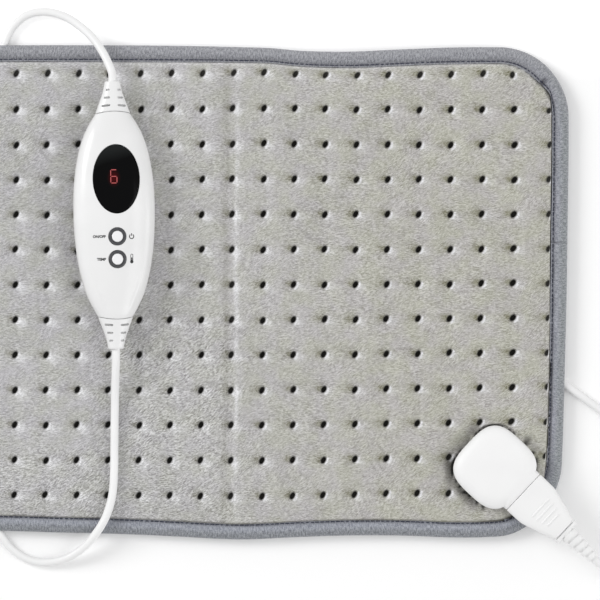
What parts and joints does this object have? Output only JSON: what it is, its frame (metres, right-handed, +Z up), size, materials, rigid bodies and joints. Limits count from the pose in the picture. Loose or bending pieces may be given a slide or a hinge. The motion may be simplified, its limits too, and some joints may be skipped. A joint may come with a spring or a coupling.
{
  "type": "heating pad with controller",
  "caption": "Rounded plush heating pad with rows of welded dots and a bound edge, a corner socket with a pull-out plug, and a corded oval controller with display and push buttons.",
  "frame": {"origin": "middle of the pad's underside, on the surface it lies on", "axes": "+X along the pad's length towards the socket end, +Y across the pad towards the edge that the controller's pad lead goes over, +Z up"},
  "size_m": [0.6863, 0.3552, 0.0388],
  "materials": {
    "plush": "short brushed pile",
    "lining": "non-woven felt",
    "binding_tape": "woven tape",
    "white_plastic": "satin moulded",
    "grey_plastic": "satin moulded",
    "display_black": "polished tinted window",
    "black_plastic": "plain",
    "cord": "smooth sheath",
    "board": "solder mask",
    "component_amber": "dipped",
    "contact_brass": "bright",
    "nickel": "nickel plate"
  },
  "bodies": {
    "pad_set": {"bottom_cover": "plush", "capacitor": "component_amber", "circuit_board": "board", "coil_tie": "black_plastic", "control_chip": "black_plastic", "controller_boot_mains_side": "white_plastic", "controller_boot_pad_side": "white_plastic", "controller_bottom_shell": "white_plastic", "controller_screw_1": "nickel", "controller_screw_2": "nickel", "controller_screw_3": "nickel", "controller_screw_4": "nickel", "controller_top_shell": "white_plastic", "display_lens": "display_black", "edge_binding": "binding_tape", "fuse": "nickel", "heating_carrier": "lining", "heating_wire": "cord", "led_display": "black_plastic", "mains_coil": "cord", "mains_lead": "cord", "mains_pin_1": "nickel", "mains_pin_2": "nickel", "mains_plug_body": "white_plastic", "mains_strain_relief": "white_plastic", "mains_tail": "cord", "on_off_ring": "grey_plastic", "on_off_switch": "black_plastic", "pad_lead": "cord", "pad_lead_loop": "cord", "socket_base": "white_plastic", "socket_board": "board", "socket_cover": "white_plastic", "socket_pin_1": "contact_brass", "socket_pin_2": "contact_brass", "socket_pin_3": "contact_brass", "socket_screw_1": "nickel", "socket_screw_2": "nickel", "temp_ring": "grey_plastic", "temp_switch": "black_plastic", "thermal_fuse": "component_amber", "top_cover": "plush", "triac": "black_plastic"},
    "on_off_button": {"on_off_button": "white_plastic", "on_off_plunger": "grey_plastic"},
    "temp_button": {"temp_button": "white_plastic", "temp_plunger": "grey_plastic"},
    "pad_plug": {"pad_plug_upper_shell": "white_plastic", "pad_plug_lower_shell": "white_plastic", "pad_plug_contact_block": "white_plastic", "plug_contact_1": "contact_brass", "plug_contact_2": "contact_brass", "plug_contact_3": "contact_brass", "pad_plug_strain_relief": "white_plastic"}
  },
  "joints": [
    {"name": "on_off_press", "type": "slide", "parent": "pad_set", "child": "on_off_button", "axis": [-0.1564, -0.0022, -0.9877], "range_m": [0, 0.0005], "stiffness_N_per_m": 800},
    {"name": "temp_press", "type": "slide", "parent": "pad_set", "child": "temp_button", "axis": [-0.1564, -0.0022, -0.9877], "range_m": [0, 0.0005], "stiffness_N_per_m": 800},
    {"name": "plug_pull", "type": "slide", "parent": "pad_set", "child": "pad_plug", "axis": [0.7314, -0.682, 0], "range_m": [0, 0.024], "deforming": ["pad_lead_loop"]}
  ]
}
